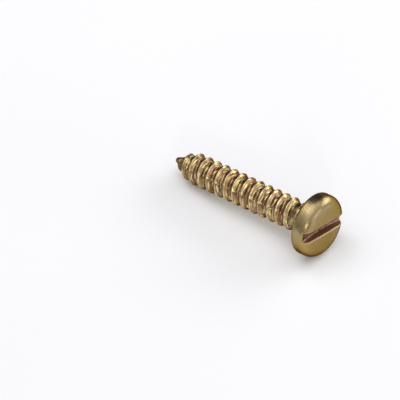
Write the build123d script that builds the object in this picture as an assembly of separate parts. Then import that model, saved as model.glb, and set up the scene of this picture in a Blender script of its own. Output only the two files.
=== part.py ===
from build123d import *
from math import atan2, cos, degrees, floor, hypot, pi, radians, sin, sqrt, tan
import os

# A self-tapping screw, ST4.8 x 25: slotted pan head and a right-hand thread down to a cone point.
# It is drawn upright, with its axis on Z and the underside of its head at Z = 0, and laid down
# at the end as it comes to rest on a table. Sizes are in millimetres and degrees.

# Shank and point
SHANK_LENGTH = 25.0        # from under the head to the tip
CORE_DIAMETER = 3.5        # at the bottom of the groove
NECK_DIAMETER = 4.0        # the plain blank, between the thread and the head
NECK_LENGTH = 1.4
POINT_LENGTH = 3.6         # over which the core narrows to the tip
POINT_BLEND = 0.08         # how softly the shank turns into the cone
TIP_DIAMETER = 0.6
TIP_DOME = 0.25            # height of the blunt dome that closes the point

# Thread
THREAD_DIAMETER = 4.8
THREAD_PITCH = 1.6
FLANK_ANGLE = 60.0         # between the two flanks of the ridge
CREST_ANGLE = 110.0        # between the two faces that close it at the top
CREST_SHARE = 0.5          # of the ridge's height that those faces take
CREST_CONE_LENGTH = 2.7    # how far above the tip the ridge reaches its full width
CREST_CONE_ANGLE = 25.0    # of the ridge's cone to the axis
RUN_IN_TURNS = 0.75        # over which the ridge rises on the point
RUN_OUT_TURNS = 0.8        # over which it fades into the neck
LEAST_NIB = 0.35           # plain end of the cone, below the thread
LEAST_GROOVE = 0.06        # what is left of the groove's floor where the ridge is tallest

# Head and driver slot
HEAD_DIAMETER = 9.4
HEAD_HEIGHT = 2.8
HEAD_TOP_RADIUS = 1.4      # the big round between the rim and the flat top
HEAD_RIM_BEVEL = 0.12      # at the bearing face
UNDERHEAD_RADIUS = 0.45
SLOT_WIDTH = 1.5
SLOT_DEPTH = 1.3
SLOT_TURN = -30.7          # of the slot, from where the thread starts

# How it lies
LYING_TURN = 108.0         # of the whole screw about its axis, before it is laid down

# How finely the curves along the thread are drawn
POINTS_PER_HALF_TURN = 4

TIP = -SHANK_LENGTH
HALF_TURNS = floor(2 * (SHANK_LENGTH - NECK_LENGTH - LEAST_NIB) / THREAD_PITCH)
THREAD_TOP = -NECK_LENGTH
THREAD_BOTTOM = THREAD_TOP - HALF_TURNS / 2 * THREAD_PITCH


def smooth_step(share):
    """Rise gently from 0 to 1 while share goes from 0 to 1."""
    share = min(max(share, 0.0), 1.0)
    return share * share * (3 - 2 * share)


def tapered(radius, cone_length, slope, z):
    """Radius at height z of a round bar that narrows by slope over its last cone_length."""
    cone = radius - slope * (TIP + cone_length - z)
    return (radius + cone) / 2 - sqrt((radius - cone) ** 2 / 4 + POINT_BLEND**2)


def root_radius(z):
    """The groove's floor: the core, narrowing to the tip and opening out to the neck."""
    slope = (CORE_DIAMETER - TIP_DIAMETER) / 2 / POINT_LENGTH
    core = tapered(CORE_DIAMETER / 2, POINT_LENGTH, slope, z)
    opening = smooth_step(1 - (THREAD_TOP - z) / THREAD_PITCH)
    return core + opening * (NECK_DIAMETER / 2 - core)


def ridge_height(turn, z):
    """Height of the ridge over the groove's floor, zero at both ends of the thread."""
    slope = tan(radians(CREST_CONE_ANGLE))
    full = tapered(THREAD_DIAMETER / 2, CREST_CONE_LENGTH, slope, z) - root_radius(z)
    run_in = smooth_step(turn / RUN_IN_TURNS)
    run_out = smooth_step((HALF_TURNS / 2 - turn) / RUN_OUT_TURNS)
    return full * run_in * run_out


def half_width(height, share):
    """Half the width of a ridge of this height, at a share of the way down from its crest."""
    top = height * min(share, CREST_SHARE) * tan(radians(CREST_ANGLE / 2))
    flank = height * max(share - CREST_SHARE, 0) * tan(radians(FLANK_ANGLE / 2))
    return min(top + flank, (THREAD_PITCH - LEAST_GROOVE) / 2)


def rail_point(turn, side, share):
    """A point of an edge of the ridge, below (-1) or above (1) its middle, share of the way down."""
    middle = THREAD_BOTTOM + THREAD_PITCH * turn
    height = ridge_height(turn, middle)
    z = middle + side * half_width(height, share)
    radius = root_radius(z) + height * (1 - share)
    return Vector(radius * cos(2 * pi * turn), radius * sin(2 * pi * turn), z)


def half_turn(curve, first):
    """A smooth edge along the curve, from the turn called first to half a turn further."""
    step = 0.5 / POINTS_PER_HALF_TURN
    turns = [first + step * i for i in range(POINTS_PER_HALF_TURN + 1)]
    reach = step / 100
    ends = [(curve(t + reach) - curve(t - reach)) / (2 * reach) for t in (turns[0], turns[-1])]
    return Edge.make_spline([curve(t) for t in turns], tangents=ends, parameters=turns, scale=False)


def rail(side, share):
    """One edge of the ridge from the point to the neck, as a list of half turns."""
    return [half_turn(lambda t: rail_point(t, side, share), i / 2) for i in range(HALF_TURNS)]


def ring(z, half_turns):
    """Two half circles round the root at height z, cut where the rails are cut."""
    level = Plane(origin=(0, 0, z))
    starts = (180 * half_turns, 180 * half_turns + 180)
    return [Edge.make_circle(root_radius(z), level, start, start + 180) for start in starts]


def threaded_length():
    """The threaded part of the shank as a solid: ridge, groove and a flat disc at each end."""
    foot_below, shoulder_below = rail(-1, 1), rail(-1, CREST_SHARE)
    crest = rail(0, 0)
    shoulder_above, foot_above = rail(1, CREST_SHARE), rail(1, 1)
    bottom, top = ring(THREAD_BOTTOM, 0), ring(THREAD_TOP, HALF_TURNS)
    strips = list(zip(foot_below, shoulder_below))
    strips += zip(shoulder_below, crest)
    strips += zip(crest, shoulder_above)
    strips += zip(shoulder_above, foot_above)
    strips += zip(bottom + foot_above, foot_below + top)
    faces = [Face.make_surface_from_curves(lower, upper) for lower, upper in strips]
    faces += [Face(Wire(bottom)), Face(Wire(top))]
    return Solid(Shell(faces))


def nib():
    """The plain end of the cone, below the thread, with a blunt domed tip."""
    shoulder = (root_radius(TIP + TIP_DOME), TIP + TIP_DOME)
    side = Polyline((0, TIP), (0, THREAD_BOTTOM), (root_radius(THREAD_BOTTOM), THREAD_BOTTOM), shoulder)
    dome = TangentArc((0, TIP), shoulder, tangent=(1, 0))
    return revolve(Plane.XZ * make_face(side + dome), Axis.Z)


def head_and_neck():
    """The neck and the pan head, turned from one half of their section."""
    neck, rim = NECK_DIAMETER / 2, HEAD_DIAMETER / 2
    section = make_face(Polyline((0, HEAD_HEIGHT), (0, THREAD_TOP), (neck, THREAD_TOP), (neck, 0),
                                 (rim - HEAD_RIM_BEVEL, 0), (rim, HEAD_RIM_BEVEL), (rim, HEAD_HEIGHT),
                                 close=True))
    for x, z, radius in ((neck, 0, UNDERHEAD_RADIUS), (rim, HEAD_HEIGHT, HEAD_TOP_RADIUS)):
        corner = section.vertices().sort_by_distance((x, z))[0]
        section = fillet(corner, radius)
    return revolve(Plane.XZ * section, Axis.Z)


def slot():
    """The block that cuts the driver slot, open at both sides of the head."""
    return Pos(0, 0, HEAD_HEIGHT) * Box(2 * HEAD_DIAMETER, SLOT_WIDTH, 2 * SLOT_DEPTH)


def lying_tilt():
    """How far the axis tips, in degrees, when the head's rim and the crest both touch the table."""
    tilts = []
    for whole_turn in range(1, HALF_TURNS // 2):
        crest = rail_point(whole_turn - LYING_TURN / 360, 0, 0)
        drop = HEAD_DIAMETER / 2 - hypot(crest.X, crest.Y)
        tilts.append(degrees(atan2(drop, HEAD_RIM_BEVEL - crest.Z)))
    return min(tilts)


def laid_down(screw):
    """The screw on its side, head towards +X, with the table at Z = 0 under its middle."""
    lying = Rot(0, 90 - lying_tilt(), 0) * Rot(0, 0, LYING_TURN) * screw
    box = lying.bounding_box()
    middle = box.center()
    return Pos(-middle.X, -middle.Y, -box.min.Z) * lying


slotted_head = Rot(0, 0, SLOT_TURN) * (head_and_neck() - slot())
screw = laid_down(threaded_length() + nib() + slotted_head)
os.makedirs("parts", exist_ok=True)
export_step(screw, "parts/screw.step")
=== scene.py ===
import math

import bpy
import numpy as np
from mathutils import Matrix, Vector, noise


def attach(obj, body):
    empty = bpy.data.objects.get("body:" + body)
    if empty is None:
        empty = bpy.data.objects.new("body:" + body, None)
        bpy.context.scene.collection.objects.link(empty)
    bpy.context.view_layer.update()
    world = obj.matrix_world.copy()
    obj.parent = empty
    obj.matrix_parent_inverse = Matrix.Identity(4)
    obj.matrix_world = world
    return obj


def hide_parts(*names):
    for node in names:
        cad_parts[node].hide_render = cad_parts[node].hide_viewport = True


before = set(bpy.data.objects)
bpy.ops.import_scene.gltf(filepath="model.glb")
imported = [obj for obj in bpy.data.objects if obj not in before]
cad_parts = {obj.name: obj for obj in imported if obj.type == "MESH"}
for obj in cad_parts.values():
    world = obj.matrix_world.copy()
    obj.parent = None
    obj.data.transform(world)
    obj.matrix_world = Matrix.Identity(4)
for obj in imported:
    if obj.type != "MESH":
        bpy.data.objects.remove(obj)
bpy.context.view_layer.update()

# Sizes are in millimetres and degrees, and the same as in the part. The screw is drawn upright, with
# its axis on Z and the underside of its head at Z = 0, and laid down at the end.
SHANK_LENGTH = 25.0
CORE_RADIUS, NECK_RADIUS, NECK_LENGTH = 1.75, 2.0, 1.4
POINT_LENGTH, TIP_RADIUS, TIP_DOME, POINT_BLEND = 3.6, 0.3, 0.25, 0.08
CREST_RADIUS, PITCH, HALF_TURNS = 2.4, 1.6, 29
RUN_IN, RUN_OUT = 0.75, 0.8
HEAD_RADIUS, HEAD_HEIGHT, TOP_ROUND, UNDERHEAD = 4.7, 2.8, 1.4, 0.45
SLOT_HALF, SLOT_DEPTH = 0.75, 1.3
SLOT_TURN, LYING_TURN, LYING_TILT = -30.7, 108.0, 6.041806
LYING_PLACE = (10.862, 0.0, 4.66126)     # of the middle of the bearing face, once the screw lies

# Forms a little softer than the part's, within its outline
CREST_CONE_LENGTH, CREST_CONE_ANGLE = 3.5, 25.0   # over which the ridge reaches its full width
RIDGE_HALF = 0.652         # half the width of a full ridge at its foot
CREST_HALF = 0.712         # share of it under the two faces at the crest, which take half the height
LEAST_FOOT = 0.1           # half the width of the ridge where it starts and ends
LEAST_FULL = 0.2           # a ridge lower than this is nowhere marked as fully high
RIDGE_SOFT = 0.06          # how far the ridge's corners are rounded
BROAD_DENT, SMALL_DENT = 0.022, 0.01     # how deep the thread is knocked about
BROAD_SIZE, SMALL_SIZE = 0.9, 0.3        # how wide those dents are
RIM_ROUND = 0.5            # of the head's rim at the bearing face
CROWN = 0.08               # how far the head's top bulges
LIP = 0.14                 # roll of the slot's edges
SLOT_FOOT = 0.14           # round between the slot's walls and its floor
SAW_RADIUS = 28.0          # of the round saw, which leaves the slot shallower at its ends
SAW_SHIFT = 0.9            # of the deepest place, from the middle of the head
HAIR = 0.01                # least height of the slot's edges over its floor
TIP_INSET = 0.005          # of the tip, within the part's

# Stains, wear and painted shade
WALL_STAIN_AND_SHADE, FLOOR_STAIN_AND_SHADE = (0.0, 0.35), (0.5, 1.15)   # depths of slot over which its stain and painted shade set in
CREST_RUB = 0.9            # share of the ridge's height above which its crest is rubbed
POINT_RUB, FOOT_RUB = 0.6, 0.9           # how rubbed the point and the slot's foot are, from 0 to 1

# Heights and distances that follow from them
TIP, THREAD_TOP = -SHANK_LENGTH, -NECK_LENGTH
TURNS = HALF_TURNS / 2
THREAD_BOTTOM = THREAD_TOP - TURNS * PITCH
CROWN_BALL = (HEAD_RADIUS**2 + CROWN**2) / (2 * CROWN)
ROUND_X = HEAD_RADIUS - TOP_ROUND
ROUND_Z = HEAD_HEIGHT - CROWN_BALL + math.sqrt((CROWN_BALL - TOP_ROUND) ** 2 - ROUND_X**2)
CROWN_EDGE = ROUND_X * CROWN_BALL / (CROWN_BALL - TOP_ROUND)
SLOT_FLOOR = HEAD_HEIGHT - SLOT_DEPTH
SIDE_TOP = SLOT_FLOOR - LIP

# How finely the skin is drawn
SIDE_STEPS, FACE_STEPS = 52, 30          # of half the head's top: round the rim, and from rim to slot
LIP_STEPS, WALL_STEPS, FOOT_STEPS, FLOOR_STEPS = 4, 4, 5, 6
LEVEL_STEPS = 9                          # over which the head's side drops from a slot's corner
SIDE_SHARES = (0.15, 0.4, 0.7, 1)        # of the way from the slot's floor down the head's round
SIDE_HEIGHTS = (1.1, 0.85, 0.65)         # of rings on the head's straight side
FACE_RADII = (3.9, 3.5, 3.1, 2.7)        # of the bearing face
NECK_HEIGHTS = (-0.7, -0.95, -1.2, THREAD_TOP)
RIDGE_SHARES = np.array([0, 0.05, 0.11, 0.3, 0.5, 0.64, 0.71, 0.78, 0.89, 0.96, 1.02, 1.1])
RIM_RINGS, UNDERHEAD_RINGS, TIP_RINGS = 9, 8, 8
NIB_HEIGHTS = (TIP + 0.36, TIP + 0.31)


# ---- the forms of the thread and the head ----
def smooth_step(share):
    """Rise gently from 0 to 1 while share goes from 0 to 1."""
    share = np.clip(share, 0.0, 1.0)
    return share * share * (3 - 2 * share)


def tapered(radius, cone_length, slope, z):
    """Radius at height z of a round bar that narrows by slope over its last cone_length."""
    cone = radius - slope * (TIP + cone_length - z)
    return (radius + cone) / 2 - np.sqrt((radius - cone) ** 2 / 4 + POINT_BLEND**2)


def root_radius(z):
    """The groove's floor: the core, narrowing to the tip and opening out to the neck."""
    core = tapered(CORE_RADIUS, POINT_LENGTH, (CORE_RADIUS - TIP_RADIUS) / POINT_LENGTH, z)
    opening = smooth_step(1 - (THREAD_TOP - z) / PITCH)
    return core + opening * (NECK_RADIUS - core)


def ridge_height(turn):
    """Height of the ridge over the groove's floor, so many turns up from where it starts."""
    z = THREAD_BOTTOM + PITCH * turn
    slope = math.tan(math.radians(CREST_CONE_ANGLE))
    full = tapered(CREST_RADIUS, CREST_CONE_LENGTH, slope, z) - root_radius(z)
    return full * smooth_step(turn / RUN_IN) * smooth_step((TURNS - turn) / RUN_OUT)


def ridge_foot(height):
    """Half the width of a ridge of this height."""
    return np.clip(height * RIDGE_HALF / (CREST_RADIUS - CORE_RADIUS), LEAST_FOOT, RIDGE_HALF)


def ridge_back(height, off):
    """Height of the ridge at a distance off its middle, along the axis. Its two slopes are averaged
    over RIDGE_SOFT to either side, which rounds its corners."""
    total, weights = 0.0, 0.0
    for step in np.linspace(-1, 1, 9):
        weight = 1 - 0.8 * abs(step)
        share = np.abs(off + step * RIDGE_SOFT) / ridge_foot(height)
        flank = np.clip((1 - share) / (1 - CREST_HALF), 0, 1)
        total = total + weight * height * (flank + np.clip(1 - share / CREST_HALF, 0, 1)) / 2
        weights += weight
    return total / weights


def dented(point, share):
    """How far a point of the thread has been knocked in, more on the crest than in the groove."""
    broad = noise.noise(Vector(point) / BROAD_SIZE + Vector((3.1, 0, 0)))
    small = noise.noise(Vector(point) / SMALL_SIZE + Vector((8.7, 0, 0)))
    return (BROAD_DENT * (1 + broad) + SMALL_DENT * (1 + small)) * (0.25 + 0.5 * share)


def head_z(r):
    """Height of the head's top at radius r."""
    r = np.asarray(r, float)
    crown = HEAD_HEIGHT - CROWN_BALL + np.sqrt(CROWN_BALL**2 - np.minimum(r, CROWN_EDGE) ** 2)
    side = np.clip(r - ROUND_X, 0, TOP_ROUND)
    return np.where(r < CROWN_EDGE, crown, ROUND_Z + np.sqrt(TOP_ROUND**2 - side**2))


def run_along(across, up):
    """Distance run along a line, from its first point to each of its points."""
    return np.concatenate([[0], np.cumsum(np.hypot(np.diff(across), np.diff(up)))])


def head_outline():
    """The head's top as radii, heights and the distance run from its middle, out to its side."""
    start = math.asin((CROWN_EDGE - ROUND_X) / TOP_ROUND)
    end = math.acos((SIDE_TOP - ROUND_Z) / TOP_ROUND)
    r = np.concatenate([np.linspace(0, CROWN_EDGE, 60)[:-1],
                        ROUND_X + TOP_ROUND * np.sin(np.linspace(start, end, 200))])
    z = head_z(r)
    return r, z, run_along(r, z)


def slot_floor(y, sign=1):
    """Height of the slot's floor at y along it. Sign is -1 where Y is turned about."""
    return SLOT_FLOOR + (np.asarray(y) - sign * SAW_SHIFT) ** 2 / (2 * SAW_RADIUS)


def slot_end(sign, end):
    """How far along the slot its corners are, at its lower (-1) or upper (1) end."""
    y = np.linspace(3.0, 4.6, 1601)     # the stretch that they are in
    gap = slot_floor(end * y, sign) - head_z(np.hypot(SLOT_HALF, y))
    return end * float(np.interp(0, gap, y))


def deep(y, least, full):
    """From 0 where the slot at y along it is only least deep, to 1 where it is full deep."""
    depth = head_z(math.hypot(SLOT_HALF, y)) - slot_floor(y)
    return float(smooth_step((depth - least) / (full - least)))


# ---- the skin under construction ----
class Skin:
    """Points and faces, with three marks for each point, from 0 to 1: how high it is on the ridge,
    how deep in the slot, which sets its stain and painted shade, and how much it is an edge that things
    rub against."""

    def __init__(self):
        self.points, self.faces, self.marks = [], [], []

    def add(self, point, ridge=0.0, slot=0.0, edge=0.0):
        """A new point, given back as its number."""
        self.points.append(tuple(float(v) for v in point))
        self.marks.append((ridge, slot, edge))
        return len(self.points) - 1

    def add_round(self, r, angle, z, **marks):
        """A new point at this radius and angle round the axis."""
        return self.add((r * math.cos(angle), r * math.sin(angle), z), **marks)

    def ring(self, angles, r, z, edge=0.0):
        """A row of points all round the screw."""
        return [self.add_round(r, a, z, edge=edge) for a in angles]

    def face(self, *corners):
        """A face between points, some of which may be the same, as where a row ends in a point."""
        ring = [c for k, c in enumerate(corners) if c not in corners[:k]]
        if len(ring) > 2:
            self.faces.append(ring)

    def strip(self, lower, upper, closed=False):
        """Faces between two rows of points that run the same way."""
        count = len(lower)
        for k in range(count if closed else count - 1):
            n = (k + 1) % count
            self.face(lower[k], lower[n], upper[n], upper[k])

    def strips(self, rows):
        """Faces between each row and the next."""
        for lower, upper in zip(rows, rows[1:]):
            self.strip(lower, upper)


# ---- the head above the slot's floor ----
def lip_rows(sign):
    """Rows of points rolled over the edge between the wall at x = SLOT_HALF and the head's top."""
    low, high = slot_end(sign, -1), slot_end(sign, 1)
    y = (low + high) / 2 + (high - low) / 2 * np.sin(np.linspace(-1, 1, 4001) * math.pi / 2)
    z = head_z(np.hypot(SLOT_HALF, y))
    run = run_along(y, z)
    even = np.linspace(0, run[-1], SIDE_STEPS + 1)
    y, z = np.interp(even, run, y), np.interp(even, run, z)
    r = np.hypot(SLOT_HALF, y)
    reach = 0.004
    slope = (head_z(r) - head_z(r - reach)) / reach
    up = np.stack([-slope * SLOT_HALF / r, -slope * y / r, np.ones_like(y)], 1)
    up /= np.linalg.norm(up, axis=1)[:, None]
    wall = np.array([-1.0, 0.0, 0.0])
    down = (up @ wall)[:, None] * wall - up
    down /= np.linalg.norm(down, axis=1)[:, None]
    away = (up @ wall)[:, None] * up - wall
    away /= np.linalg.norm(away, axis=1)[:, None]
    edge = np.stack([np.full_like(y, SLOT_HALF), y, z], 1)
    roll = (LIP * np.clip((z - slot_floor(y, sign)) / (3 * LIP), 0.25, 1))[:, None]
    rows = []
    for a in math.pi / 2 * np.arange(LIP_STEPS + 1) / LIP_STEPS:
        row = edge + roll * ((1 - math.sin(a)) * away + (1 - math.cos(a)) * down)
        floor = slot_floor(row[:, 1], sign)
        row[1:-1, 2] = np.maximum(row[1:-1, 2], floor[1:-1] + HAIR)
        row[[0, -1], 2] = floor[[0, -1]]
        rows.append(row)
    return rows


def face_rows(skin, sign, lip, ends):
    """Rows of points over half the head's top, from its side up to the lip of the slot. A radius
    below zero puts the points of the second half straight across the axis."""
    out_r, out_z, out_run = head_outline()
    lip_angles, lip_r = np.arctan2(lip[:, 1], lip[:, 0]), np.hypot(lip[:, 0], lip[:, 1])
    lip_run = np.interp(lip_r, out_r, out_run)
    side_angles = np.linspace(lip_angles[0], lip_angles[-1], SIDE_STEPS + 1)
    steps = np.arange(SIDE_STEPS + 1)
    corner = np.where(steps < SIDE_STEPS / 2, lip_run[0], lip_run[-1])
    level = np.interp(-SLOT_FLOOR, -out_z, out_run)
    from_end = np.minimum(steps, SIDE_STEPS - steps)
    side_run = corner + smooth_step(from_end / LEVEL_STEPS) * (level - corner)
    rows = []
    for i in range(FACE_STEPS):
        runs = side_run + i / FACE_STEPS * (lip_run - side_run)
        angles = side_angles + i / FACE_STEPS * (lip_angles - side_angles)
        heights = np.interp(runs, out_run, out_z)
        places = list(zip(sign * np.interp(runs, out_run, out_r), angles, heights))
        rows.append([ends[0]] + [skin.add_round(*place) for place in places[1:-1]] + [ends[1]])
    return rows


def wall_rows(skin, sign, lip, ends):
    """Rows of points from the last row of the lip down a wall of the slot and round onto its floor."""
    rows = []
    for k in range(1, WALL_STEPS + FOOT_STEPS + 1):
        row = []
        for x, y, top in lip[1:-1]:
            floor = float(slot_floor(y))
            height = top - floor
            foot = min(SLOT_FOOT, height / 2)
            if k <= WALL_STEPS:
                out, up = 0, foot + (height - foot) * (1 - k / WALL_STEPS)
            else:
                a = math.pi / 2 * (k - WALL_STEPS) / FOOT_STEPS
                out, up = foot * (1 - math.cos(a)), foot * (1 - math.sin(a))
            # Stain and painted shade on the wall, darker the deeper the slot is
            stain_and_shade = (0.6 + 0.4 * (1 - up / height)) * deep(y, *WALL_STAIN_AND_SHADE)
            row.append(skin.add((x - sign * out, y, floor + up), slot=stain_and_shade,
                                edge=FOOT_RUB if k > WALL_STEPS else 0))
        rows.append([ends[0]] + row + [ends[1]])
    return rows


def half_top(skin, sign):
    """One of the two halves of the head's top: its face, its lip and its wall of the slot. The lip
    goes from rubbed at the face to stained, with painted shade, at the wall."""
    rows = lip_rows(sign)
    lips = [row * np.array([sign, sign, 1]) for row in rows]
    ends = [skin.add(lips[0][k], slot=0.3, edge=1) for k in (0, -1)]
    grid = face_rows(skin, sign, rows[0], ends)
    grid.append([ends[0]] + [skin.add(p, edge=0.7) for p in lips[0][1:-1]] + [ends[1]])
    for k in range(1, LIP_STEPS + 1):
        share = k / LIP_STEPS
        # The lip takes on the slot's stain and painted shade towards the wall
        grid.append([skin.add(p, slot=0.5 * share * deep(p[1], *WALL_STAIN_AND_SHADE), edge=1 - 0.6 * share)
                     for p in lips[k]])
    grid += wall_rows(skin, sign, lips[-1], (grid[-1][0], grid[-1][-1]))
    skin.strips(grid)
    return grid[0], grid[FACE_STEPS:FACE_STEPS + LIP_STEPS + 1], grid[-1]


def head_top(skin):
    """The head above the slot's floor, with the slot along Y. Returns the ring of points it stands on."""
    (arc_a, lip_a, foot_a), (arc_b, lip_b, foot_b) = (half_top(skin, sign) for sign in (1, -1))
    foot_b = foot_b[::-1]
    across = [foot_a]
    for i in range(1, FLOOR_STEPS):
        row = []
        for j, (a, b) in enumerate(zip(foot_a, foot_b)):
            start, y = skin.points[a][:2]
            x = start + i / FLOOR_STEPS * (skin.points[b][0] - start)
            if j in (0, SIDE_STEPS):
                y = math.copysign(math.sqrt((math.hypot(start, y) - LIP / 3) ** 2 - x * x), y)
            # Stain and painted shade on the floor, darker where the slot is deeper
            row.append(skin.add((x, y, float(slot_floor(y))), slot=deep(y, *FLOOR_STAIN_AND_SHADE)))
        across.append(row)
    across.append(foot_b)
    skin.strips(across)
    end_gap = [row[-1] for row in lip_a[1:]] + [row[-1] for row in across[1:-1]]
    end_gap += [row[0] for row in lip_b[:0:-1]]
    start_gap = [row[-1] for row in lip_b[1:]] + [row[0] for row in across[-2:0:-1]]
    start_gap += [row[0] for row in lip_a[:0:-1]]
    return arc_a + end_gap + arc_b + start_gap


# ---- the head's side, the neck, the thread and the point ----
def turned(skin, angles, upper, section):
    """Rings down a section of radii, heights and edge marks. Returns the last ring."""
    for r, z, edge in section:
        lower = skin.ring(angles, r, z, edge)
        skin.strip(lower, upper, closed=True)
        upper = lower
    return upper


def head_side(skin, angles, upper):
    """From the slot's ends down the head's side, over the bearing face and down the neck."""
    out_r, out_z, out_run = head_outline()
    starts = np.interp([-skin.points[v][2] for v in upper], -out_z, out_run)
    for share in SIDE_SHARES:
        runs = starts + share * (out_run[-1] - starts)
        places = zip(np.interp(runs, out_run, out_r), angles, np.interp(runs, out_run, out_z))
        lower = [skin.add_round(*place) for place in places]
        skin.strip(lower, upper, closed=True)
        upper = lower
    section = [(HEAD_RADIUS, z, 0) for z in SIDE_HEIGHTS]
    for a in np.radians(np.linspace(0, 90, RIM_RINGS)):
        edge = max(0, math.sin(2 * a - math.pi / 2))
        section.append((HEAD_RADIUS - RIM_ROUND * (1 - math.cos(a)), RIM_ROUND * (1 - math.sin(a)), edge))
    section += [(r, 0.0, 0) for r in FACE_RADII]
    for a in np.radians(np.linspace(0, 90, UNDERHEAD_RINGS)):
        section.append((NECK_RADIUS + UNDERHEAD * (1 - math.sin(a)), -UNDERHEAD * (1 - math.cos(a)), 0))
    section += [(NECK_RADIUS, z, 0) for z in NECK_HEIGHTS]
    return turned(skin, angles, upper, section)


def thread_profile(turns):
    """Heights and radii along the shank where the ridge has made so many turns, and how high each
    point is on the ridge, from 0 to 1. The first point of each turn is in the middle of the groove."""
    full = ridge_height(turns)[:, None]
    across = ridge_foot(full) * np.concatenate([-RIDGE_SHARES[:0:-1], RIDGE_SHARES])
    off = np.concatenate([np.full_like(full, -PITCH / 2), across], 1)
    back = ridge_back(full, off)
    z = (THREAD_BOTTOM + PITCH * turns)[:, None] + off
    return z.ravel(), (root_radius(z) + back).ravel(), (back / np.maximum(full, LEAST_FULL)).ravel()


def threaded_length(skin, angles, top_ring):
    """Ridge and groove, in rows that follow the ridge down to the ring that ends the thread."""
    bottom_ring = skin.ring(angles, float(root_radius(THREAD_BOTTOM)), THREAD_BOTTOM)
    first = math.floor(-angles[-1] / (2 * math.pi)) - 1
    last = math.ceil(TURNS - angles[0] / (2 * math.pi)) + 1
    whole_turns = np.arange(first, last + 1)
    columns = []
    for bottom, top, a in zip(bottom_ring, top_ring, angles):
        column = []
        for z, r, share in zip(*thread_profile(whole_turns + a / (2 * math.pi))):
            if z <= THREAD_BOTTOM:
                column.append(bottom)
            elif z >= THREAD_TOP:
                column.append(top)
            else:
                r -= dented((r * math.cos(a), r * math.sin(a), z), share)
                rubbed = max(0, share - CREST_RUB) / (1 - CREST_RUB)
                column.append(skin.add_round(r, a, z, ridge=share, edge=rubbed))
        columns.append(column)
    points_per_turn = 2 * len(RIDGE_SHARES)
    columns.append(columns[0][points_per_turn:] + [top_ring[0]] * points_per_turn)
    for left, right in zip(columns, columns[1:]):
        for i in range(len(left) - 1):
            skin.face(left[i], right[i], right[i + 1], left[i + 1])
    return bottom_ring


def nib(skin, angles, upper):
    """The plain end of the cone below the thread, and the blunt dome that closes it."""
    tip = TIP + TIP_INSET
    shoulder = float(root_radius(TIP + TIP_DOME))
    sweep = 2 * math.atan2(TIP_DOME, shoulder)
    ball = shoulder / math.sin(sweep)
    section = [(float(root_radius(z)), z, POINT_RUB) for z in NIB_HEIGHTS]
    for a in np.linspace(sweep, 0, TIP_RINGS)[:-1]:
        section.append((ball * math.sin(a), tip + ball * (1 - math.cos(a)), POINT_RUB))
    last = turned(skin, angles, upper, section)
    end = skin.add((0, 0, tip), edge=1)
    for k in range(len(last)):
        skin.face(end, last[(k + 1) % len(last)], last[k])


def screw_skin():
    """The whole screw, upright, as one closed skin."""
    skin = Skin()
    ring = head_top(skin)
    turn = math.radians(SLOT_TURN - 90)
    c, s = math.cos(turn), math.sin(turn)
    skin.points = [(x * c - y * s, x * s + y * c, z) for x, y, z in skin.points]
    angles = np.unwrap([math.atan2(skin.points[v][1], skin.points[v][0]) for v in ring])
    neck_ring = head_side(skin, angles, ring)
    bottom_ring = threaded_length(skin, angles, neck_ring)
    nib(skin, angles, bottom_ring)
    return skin


def laid_down():
    """The turn and the place that lay the upright screw on the table."""
    turn = Matrix.Rotation(math.radians(90 - LYING_TILT), 4, "Y")
    turn = turn @ Matrix.Rotation(math.radians(LYING_TURN), 4, "Z")
    return Matrix.Translation(Vector(LYING_PLACE)) @ turn


def as_object(skin, name, lying):
    """The skin as an object, in metres, that keeps its upright points for the finish to follow."""
    used = sorted({v for face in skin.faces for v in face})
    new = {v: k for k, v in enumerate(used)}
    upright = [skin.points[v] for v in used]
    mesh = bpy.data.meshes.new(name)
    mesh.from_pydata([lying @ Vector(p) * 0.001 for p in upright], [],
                     [[new[v] for v in face] for face in skin.faces])
    along = mesh.attributes.new("upright", "FLOAT_VECTOR", "POINT")
    along.data.foreach_set("vector", np.array(upright, dtype=np.float32).ravel())
    marks = np.array([skin.marks[v] for v in used], dtype=np.float32)
    for k, key in enumerate(("ridge", "slot", "edge")):
        mesh.attributes.new(key, "FLOAT", "POINT").data.foreach_set("value", marks[:, k].copy())
    mesh.validate()
    mesh.shade_smooth()
    mesh.set_sharp_from_angle(angle=math.radians(60))
    made = bpy.data.objects.new(name, mesh)
    bpy.context.scene.collection.objects.link(made)
    return made


# ---- nodes ----
def put(tree, kind, inputs=None, **settings):
    """A node with its settings, each of its inputs set to a value or joined to another node's socket."""
    node = tree.nodes.new(kind)
    for key, value in settings.items():
        setattr(node, key, value)
    for key, value in (inputs or {}).items():
        if isinstance(value, bpy.types.NodeSocket):
            tree.links.new(value, node.inputs[key])
        else:
            node.inputs[key].default_value = value
    return node


def new_material(name):
    """An empty material and its tree of nodes."""
    material = bpy.data.materials.new(name)
    material.use_nodes = True
    material.node_tree.nodes.clear()
    return material, material.node_tree


def mark(tree, name, socket="Fac"):
    """One of the marks that the skin's points carry."""
    return put(tree, "ShaderNodeAttribute", attribute_name=name).outputs[socket]


def step_between(tree, value, low, high):
    """0 where value is below low, 1 where it is above high, and smooth between."""
    return put(tree, "ShaderNodeMapRange", {"Value": value, "From Min": low, "From Max": high},
               interpolation_type="SMOOTHSTEP").outputs[0]


def math_of(tree, operation, first, second):
    """One sum of two numbers, such as their product."""
    return put(tree, "ShaderNodeMath", {0: first, 1: second}, operation=operation).outputs[0]


def times(tree, first, second):
    """The product of two numbers."""
    return math_of(tree, "MULTIPLY", first, second)


def plus(tree, first, *others):
    """The sum of two or more numbers."""
    for other in others:
        first = math_of(tree, "ADD", first, other)
    return first


def rest_of(tree, share):
    """What a share leaves of the whole, which is 1."""
    return math_of(tree, "SUBTRACT", 1.0, share)


def vector_of(tree, operation, first, second, socket=0):
    """One sum of two vectors."""
    return put(tree, "ShaderNodeVectorMath", {0: first, 1: second}, operation=operation).outputs[socket]


def mixed(tree, share, first, second):
    """The first colour where share is 0 and the second where it is 1."""
    return put(tree, "ShaderNodeMix", {0: share, 6: first, 7: second}, data_type="RGBA").outputs[2]


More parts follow.
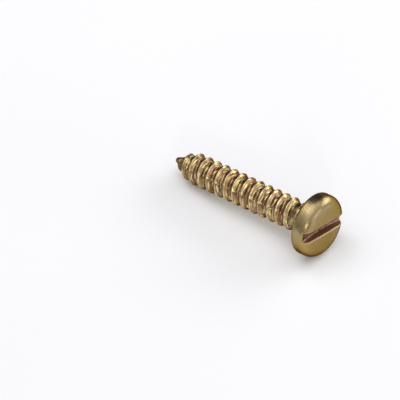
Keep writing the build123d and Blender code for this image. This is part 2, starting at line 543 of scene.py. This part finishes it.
def soft_spots_group():
    """The effect behind every stain, streak and grain: Spots are soft random values about 0.5, and
    Mask goes from 0 where they are below Low to 1 where they are above High."""
    group = bpy.data.node_groups.new("soft_spots", "ShaderNodeTree")
    group.interface.new_socket("Place", in_out="INPUT", socket_type="NodeSocketVector")
    for name in ("Scale", "Detail", "Roughness", "Low", "High"):
        group.interface.new_socket(name, in_out="INPUT", socket_type="NodeSocketFloat")
    for name in ("Spots", "Mask"):
        group.interface.new_socket(name, in_out="OUTPUT", socket_type="NodeSocketFloat")
    given = put(group, "NodeGroupInput").outputs
    spots = put(group, "ShaderNodeTexNoise", {"Vector": given["Place"], "Scale": given["Scale"],
                                              "Detail": given["Detail"],
                                              "Roughness": given["Roughness"]}).outputs["Fac"]
    mask = step_between(group, spots, given["Low"], given["High"])
    put(group, "NodeGroupOutput", {"Spots": spots, "Mask": mask})
    return group


SOFT_SPOTS = soft_spots_group()


def soft_spots(tree, place, scale, detail=2.0, roughness=0.55, low=0.3, high=0.7):
    """The outputs of the effect, with spots about 1 / scale wide."""
    return put(tree, "ShaderNodeGroup", {"Place": place, "Scale": scale, "Detail": detail,
                                         "Roughness": roughness, "Low": low, "High": high},
               node_tree=SOFT_SPOTS).outputs


# ---- finishes ----
OLIVE_GOLD = (0.39, 0.275, 0.10, 1)
GREY_GOLD = (0.39, 0.305, 0.155, 1)
BROWN_GOLD = (0.35, 0.215, 0.085, 1)
COPPER = (0.60, 0.33, 0.21, 1)
RUBBED_COPPER = (0.78, 0.50, 0.38, 1)
GROOVE_BROWN = (0.36, 0.22, 0.12, 1)
SLOT_BROWN = (0.38, 0.19, 0.11, 1)
CREAM = (0.88, 0.76, 0.38, 1)
DARK_OLIVE = (0.13, 0.09, 0.04, 1)
GREEN_BLACK = (0.15, 0.10, 0.055, 1)
LOW_ANGLE_BROWN = (0.10, 0.07, 0.09, 1)            # of the plating, seen along its surface
COOL_WHITE = (0.93, 0.935, 0.945, 1)
PLAIN_WHITE = (0.95, 0.95, 0.95, 1)
STREAK_DEPTH, PAPER_DEPTH = 0.00008, 0.00002       # of the relief, in metres


def yellow_zinc():
    """Yellow-chromated zinc over rolled steel: olive gold with coppery streaks that follow the thread,
    browner in the groove, stained with painted shade deeper in the slot, cream along the crests as a
    painted highlight, and rubbed paler where things touch it."""
    material, tree = new_material("yellow_zinc")
    place = mark(tree, "upright", "Vector")
    ridge, slot, edge = (mark(tree, name) for name in ("ridge", "slot", "edge"))
    below_head = times(tree, put(tree, "ShaderNodeSeparateXYZ", {0: place}).outputs["Z"], -1.0)
    shank = step_between(tree, below_head, 0.0, 1.2)
    facet = step_between(tree, ridge, 0.45, 0.7)
    groove = times(tree, shank, step_between(tree, rest_of(tree, ridge), 0.2, 0.9))

    # Spots all over the screw, and streaks that are long round its shank and narrow along it
    cloud = soft_spots(tree, place, 0.22, low=0.4, high=0.6)["Mask"]
    blots = soft_spots(tree, place, 0.95, detail=3.0)
    grain = soft_spots(tree, place, 16.0)["Spots"]
    around = vector_of(tree, "MULTIPLY", place, (0.6, 0.6, 6.4))
    around_pale = vector_of(tree, "ADD", around, (13.0, 7.0, 5.0))
    around_dark = vector_of(tree, "ADD", around, (31.0, 17.0, 9.0))
    pink = soft_spots(tree, around, 0.95, roughness=0.6, low=0.5, high=0.55)
    pale = soft_spots(tree, around_pale, 0.95, roughness=0.6, low=0.55, high=0.6)
    dark = soft_spots(tree, around_dark, 0.95, roughness=0.6, low=0.49, high=0.55)
    hairs = soft_spots(tree, around, 3.6, detail=3.0, roughness=0.6, low=0.4, high=0.6)

    # Colour: each layer covers a share of what is under it
    pink_share = times(tree, times(tree, shank, pink["Mask"]), rest_of(tree, times(tree, facet, 0.3)))
    dark_share = times(tree, times(tree, shank, dark["Mask"]), rest_of(tree, times(tree, facet, 0.5)))
    # Painted highlight: cream along the crests of the ridge, broken up by the hairs
    crest_highlight_share = times(tree, step_between(tree, ridge, 0.8, 0.95),
                        step_between(tree, hairs["Spots"], 0.35, 0.55))
    rubbed_share = times(tree, edge, step_between(tree, blots["Spots"], 0.3, 0.6))
    point_share = step_between(tree, below_head, 22.8, 24.2)
    # Stain in the slot that also paints shade: brown with black hairs, laid on more strongly where the
    # slot is deeper
    slot_stain_and_shade = mixed(tree, hairs["Mask"], SLOT_BROWN, GREEN_BLACK)
    colour = mixed(tree, cloud, OLIVE_GOLD, GREY_GOLD)
    layers = (
        (step_between(tree, blots["Spots"], 0.5, 0.75), 0.5, BROWN_GOLD),
        (shank, 0.45, BROWN_GOLD),
        (groove, 0.55, GROOVE_BROWN),
        (pink_share, 0.75, COPPER),
        (dark_share, 0.85, DARK_OLIVE),
        (times(tree, shank, pale["Mask"]), 0.9, CREAM),
        (crest_highlight_share, 0.55, CREAM),
        (point_share, 0.6, GREEN_BLACK),
        (step_between(tree, slot, 0.1, 0.6), 1.0, slot_stain_and_shade),
        (rubbed_share, 0.6, RUBBED_COPPER))
    for share, strength, cover in layers:
        colour = mixed(tree, times(tree, share, strength), colour, cover)

    # Duller where it is blotted, in the slot and along the hairs
    rough = plus(tree, times(tree, blots["Mask"], 0.1), times(tree, slot, 0.2),
                 times(tree, hairs["Spots"], 0.1), 0.17)
    streaks = times(tree, plus(tree, pink["Spots"], pale["Spots"]), shank)
    streaks = times(tree, streaks, rest_of(tree, times(tree, facet, 0.6)))
    relief = plus(tree, streaks, times(tree, hairs["Spots"], 0.2), times(tree, blots["Spots"], 0.35),
                  times(tree, grain, 0.05))
    bump = put(tree, "ShaderNodeBump", {"Strength": 1.0, "Distance": STREAK_DEPTH, "Height": relief})
    shader = put(tree, "ShaderNodeBsdfPrincipled", {
        "Base Color": colour, "Metallic": rest_of(tree, times(tree, slot, 0.5)), "Roughness": rough,
        "Normal": bump.outputs[0], "Specular Tint": LOW_ANGLE_BROWN})
    put(tree, "ShaderNodeOutputMaterial", {"Surface": shader.outputs[0]})
    return material


def white_paper():
    """Smooth white paper with a faint grain."""
    material, tree = new_material("white_paper")
    place = put(tree, "ShaderNodeTexCoord").outputs["Object"]
    grain = soft_spots(tree, place, 1400.0)["Spots"]
    colour = mixed(tree, soft_spots(tree, place, 12.0)["Mask"], COOL_WHITE, PLAIN_WHITE)
    bump = put(tree, "ShaderNodeBump", {"Strength": 0.3, "Distance": PAPER_DEPTH, "Height": grain})
    shader = put(tree, "ShaderNodeBsdfPrincipled", {"Base Color": colour, "Roughness": 0.9,
                                                    "Normal": bump.outputs[0]})
    put(tree, "ShaderNodeOutputMaterial", {"Surface": shader.outputs[0]})
    return material


screw = as_object(screw_skin(), "tapping_screw", laid_down())
screw.data.materials.append(yellow_zinc())
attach(screw, "root")
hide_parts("screw")

# ---- the table ----
bpy.ops.mesh.primitive_plane_add(size=3, location=(0, 0, -0.00001))
table_top = bpy.context.object
table_top.name = "table_top"
table_top.data.materials.append(white_paper())


# ---- light and camera, placed in metres ----
MIDDLE = Vector((0, 0, 0.004))           # of the screw, which all of them are placed about
DARK_SCREEN, DARK_WITHIN, DARK_UP_TO = (234, 12), 49, 60   # where it stands, and how wide it is seen
AZIMUTH, ELEVATION, DISTANCE = 39.5, 44.0, 0.55   # of the camera
LEFT_OF_SCREW, BELOW_SCREW = 0.00737, 0.00119     # how far beside the middle it aims


def toward(azimuth, elevation):
    """The direction from the screw to what stands at this azimuth and elevation."""
    az, el = math.radians(azimuth), math.radians(elevation)
    return Vector((math.sin(az) * math.cos(el), -math.cos(az) * math.cos(el), math.sin(el)))


def place_at(name, data, azimuth, elevation, distance, aim=MIDDLE):
    """An object at this azimuth and elevation about the aim, facing it."""
    back = toward(azimuth, elevation)
    made = bpy.data.objects.new(name, data)
    bpy.context.scene.collection.objects.link(made)
    made.location = aim + back * distance
    made.rotation_euler = back.to_track_quat("Z", "Y").to_euler()
    return made


def soft_light(name, azimuth, elevation, distance, size, power, colour=(1, 1, 1)):
    """A rectangular lamp of this size, facing the screw."""
    lamp = bpy.data.lights.new(name, "AREA")
    lamp.shape = "RECTANGLE"
    lamp.size, lamp.size_y = size
    lamp.energy, lamp.color = power, colour
    place_at(name, lamp, azimuth, elevation, distance)


def studio():
    """The room round the table: dim low down, bright overhead, with a dark screen behind the screw."""
    room = bpy.data.worlds.new("studio")
    room.use_nodes = True
    tree = room.node_tree
    outward = put(tree, "ShaderNodeTexCoord").outputs["Generated"]
    up = put(tree, "ShaderNodeSeparateXYZ", {0: outward}).outputs["Z"]
    walls = put(tree, "ShaderNodeValToRGB", {"Fac": up})
    ramp = walls.color_ramp.elements
    ramp[0].position, ramp[0].color = 0.0, (0.20, 0.20, 0.205, 1)
    ramp[1].position, ramp[1].color = 1.0, (1.76, 1.76, 1.80, 1)
    ramp.new(0.5).color = (0.50, 0.50, 0.52, 1)
    ramp.new(0.8).color = (0.88, 0.88, 0.91, 1)
    in_line = vector_of(tree, "DOT_PRODUCT", outward, toward(*DARK_SCREEN), "Value")
    inner, outer = math.cos(math.radians(DARK_WITHIN)), math.cos(math.radians(DARK_UP_TO))
    screen = step_between(tree, in_line, outer, inner)
    colour = mixed(tree, screen, walls.outputs["Color"], (0.05, 0.045, 0.05, 1))
    tree.links.new(colour, tree.nodes["Background"].inputs["Color"])
    return room


soft_light("back_strip", 161, 22, 0.45, (0.42, 0.18), 0.74)
soft_light("high_window", 272, 60, 0.45, (0.28, 0.24), 0.40)
soft_light("side_card", 104, 13, 0.45, (0.24, 0.13), 0.16)
soft_light("small_lamp", 45, 22, 0.5, (0.05, 0.05), 0.22, (1.0, 0.93, 0.85))
bpy.context.scene.world = studio()

lens = bpy.data.cameras.new("camera")
lens.sensor_width, lens.lens = 36, 344.0          # in millimetres
lens.clip_start, lens.clip_end = 0.01, 10
right = Vector((math.cos(math.radians(AZIMUTH)), math.sin(math.radians(AZIMUTH)), 0))
above = toward(AZIMUTH, ELEVATION).cross(right)
aim = MIDDLE - right * LEFT_OF_SCREW - above * BELOW_SCREW
bpy.context.scene.camera = place_at("camera", lens, AZIMUTH, ELEVATION, DISTANCE, aim)
bpy.context.scene.view_settings.view_transform = "Standard"
